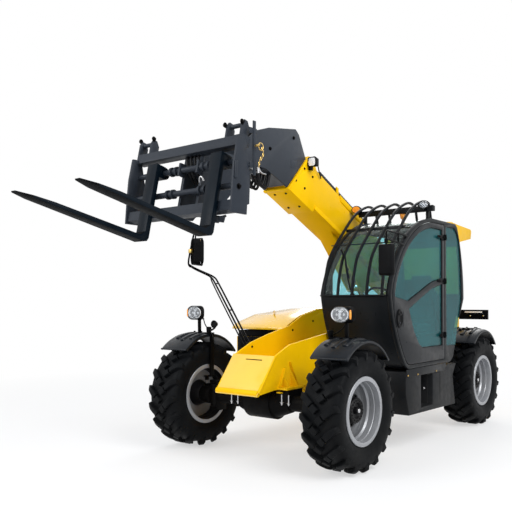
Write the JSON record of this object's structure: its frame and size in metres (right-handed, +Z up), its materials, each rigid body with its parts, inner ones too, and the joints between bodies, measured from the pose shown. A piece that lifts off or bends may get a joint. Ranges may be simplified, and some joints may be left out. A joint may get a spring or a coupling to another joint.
{
  "type": "telehandler",
  "caption": "Telehandler with four steered wheels, side cab, two-section telescopic boom, tilting carriage and pallet forks.",
  "frame": {"origin": "on the ground, at the middle of the overall length and width", "axes": "+X forward along the machine towards the fork tips, +Y to the machine's left (cab side), +Z up"},
  "size_m": [7.0662, 2.5087, 3.465],
  "materials": {
    "yellow_paint": "satin machine yellow",
    "dark_paint": "satin dark grey",
    "charcoal_paint": "satin blue-grey",
    "fork_steel": "worn black forged steel",
    "rim_paint": "satin silver",
    "bright_steel": "machined",
    "rod_chrome": "polished",
    "tyre_rubber": "matte black",
    "fender_plastic": "ribbed dark plastic",
    "seat_vinyl": "black vinyl",
    "trim_plastic": "black plastic",
    "cab_glass": "green tinted glass",
    "engine_iron": "painted casting"
  },
  "bodies": {
    "chassis": {"chassis_frame": "yellow_paint", "nose_plate": "yellow_paint", "boom_pivot_pin": "bright_steel", "rear_tower": "yellow_paint", "counterweight": "yellow_paint", "rear_lamp_bar": "dark_paint", "front_axle": "dark_paint", "rear_axle": "dark_paint", "engine_block": "engine_iron", "engine_bay": "yellow_paint", "step_box": "dark_paint", "cab_side_frame": "dark_paint", "cab_inner_wall": "dark_paint", "cab_floor": "dark_paint", "cab_front_panel": "dark_paint", "cab_roof": "dark_paint", "cab_rear_panel": "dark_paint", "cab_glass": "cab_glass", "guard_bars": "dark_paint", "seat_base": "trim_plastic", "seat_pads": "seat_vinyl", "console": "trim_plastic", "steering_wheel": "trim_plastic", "left_mirror": "trim_plastic", "right_mirror": "trim_plastic", "roof_lamps": "trim_plastic", "lift_pin": "bright_steel"},
    "door": {"door_panel": "dark_paint", "door_glass": "cab_glass"},
    "hood": {"engine_hood": "yellow_paint"},
    "knuckle_body_fl": {"knuckle_fl": "dark_paint", "fender_fl": "fender_plastic", "headlamp_fl": "fender_plastic"},
    "wheel_fl": {"tyre_fl": "tyre_rubber", "rim_fl": "rim_paint"},
    "knuckle_body_fr": {"knuckle_fr": "dark_paint", "fender_fr": "fender_plastic", "headlamp_fr": "fender_plastic"},
    "wheel_fr": {"tyre_fr": "tyre_rubber", "rim_fr": "rim_paint"},
    "knuckle_body_rl": {"knuckle_rl": "dark_paint", "fender_rl": "fender_plastic"},
    "wheel_rl": {"tyre_rl": "tyre_rubber", "rim_rl": "rim_paint"},
    "knuckle_body_rr": {"knuckle_rr": "dark_paint", "fender_rr": "fender_plastic"},
    "wheel_rr": {"tyre_rr": "tyre_rubber", "rim_rr": "rim_paint"},
    "boom": {"boom_base": "yellow_paint"},
    "boom_extension": {"boom_inner": "yellow_paint", "boom_head": "dark_paint", "tilt_pin": "bright_steel"},
    "carriage_body": {"carriage": "charcoal_paint"},
    "fork_left_body": {"fork_left": "fork_steel"},
    "fork_right_body": {"fork_right": "fork_steel"},
    "lift_barrel_body": {"lift_barrel": "dark_paint"},
    "lift_rod_body": {"lift_rod": "rod_chrome"}
  },
  "joints": [
    {"name": "steer_front_left", "type": "hinge", "parent": "chassis", "child": "knuckle_body_fl", "pos_m": [0.947, 0.72, 0.575], "axis": [0, 0, 1], "range_deg": [-35, 35]},
    {"name": "steer_front_right", "type": "hinge", "parent": "chassis", "child": "knuckle_body_fr", "pos_m": [0.947, -0.72, 0.575], "axis": [0, 0, 1], "range_deg": [-35, 35]},
    {"name": "steer_rear_left", "type": "hinge", "parent": "chassis", "child": "knuckle_body_rl", "pos_m": [-2.123, 0.72, 0.575], "axis": [0, 0, 1], "range_deg": [-35, 35]},
    {"name": "steer_rear_right", "type": "hinge", "parent": "chassis", "child": "knuckle_body_rr", "pos_m": [-2.123, -0.72, 0.575], "axis": [0, 0, 1], "range_deg": [-35, 35]},
    {"name": "wheel_spin_front_left", "type": "hinge", "parent": "knuckle_body_fl", "child": "wheel_fl", "pos_m": [0.947, 1.015, 0.575], "axis": [0, 1, 0], "continuous": true},
    {"name": "wheel_spin_front_right", "type": "hinge", "parent": "knuckle_body_fr", "child": "wheel_fr", "pos_m": [0.947, -1.015, 0.575], "axis": [0, 1, 0], "continuous": true},
    {"name": "wheel_spin_rear_left", "type": "hinge", "parent": "knuckle_body_rl", "child": "wheel_rl", "pos_m": [-2.123, 1.015, 0.575], "axis": [0, 1, 0], "continuous": true},
    {"name": "wheel_spin_rear_right", "type": "hinge", "parent": "knuckle_body_rr", "child": "wheel_rr", "pos_m": [-2.123, -1.015, 0.575], "axis": [0, 1, 0], "continuous": true},
    {"name": "door_swing", "type": "hinge", "parent": "chassis", "child": "door", "pos_m": [-0.973, 1.16, 1.6], "axis": [0, 0, 1], "range_deg": [0, 85]},
    {"name": "hood_lid", "type": "hinge", "parent": "chassis", "child": "hood", "pos_m": [-0.538, -0.287, 1.545], "axis": [-1, 0, 0], "range_deg": [0, 60]},
    {"name": "boom_lift", "type": "hinge", "parent": "chassis", "child": "boom", "pos_m": [-2.753, 0, 1.47], "axis": [0, -1, 0], "range_deg": [-22, 42]},
    {"name": "boom_extend", "type": "slide", "parent": "boom", "child": "boom_extension", "axis": [0.91, 0, 0.4147], "range_m": [0, 1.9]},
    {"name": "carriage_tilt", "type": "hinge", "parent": "boom_extension", "child": "carriage_body", "pos_m": [1.402, 0, 2.93], "axis": [0, 1, 0], "range_deg": [-30, 75]},
    {"name": "fork_slide_left", "type": "slide", "parent": "carriage_body", "child": "fork_left_body", "axis": [0, 1, 0], "range_m": [-0.2, 0.11]},
    {"name": "fork_slide_right", "type": "slide", "parent": "carriage_body", "child": "fork_right_body", "axis": [0, -1, 0], "range_m": [-0.2, 0.11]},
    {"name": "lift_barrel_swing", "type": "hinge", "parent": "chassis", "child": "lift_barrel_body", "pos_m": [-2.203, 0, 0.85], "axis": [0, -1, 0], "range_deg": [-25, 45]},
    {"name": "lift_rod_slide", "type": "slide", "parent": "lift_barrel_body", "child": "lift_rod_body", "axis": [0.8074, 0, 0.59], "range_m": [-0.31, 0.6]}
  ],
  "couplings": [
    {"joint": "steer_front_right", "follows": "steer_front_left", "ratio": 1},
    {"joint": "steer_rear_right", "follows": "steer_rear_left", "ratio": 1},
    {"joint": "lift_barrel_swing", "follows": "boom_lift", "ratio": 0.95},
    {"joint": "lift_rod_slide", "follows": "boom_lift", "m_per_rad": 0.785}
  ]
}
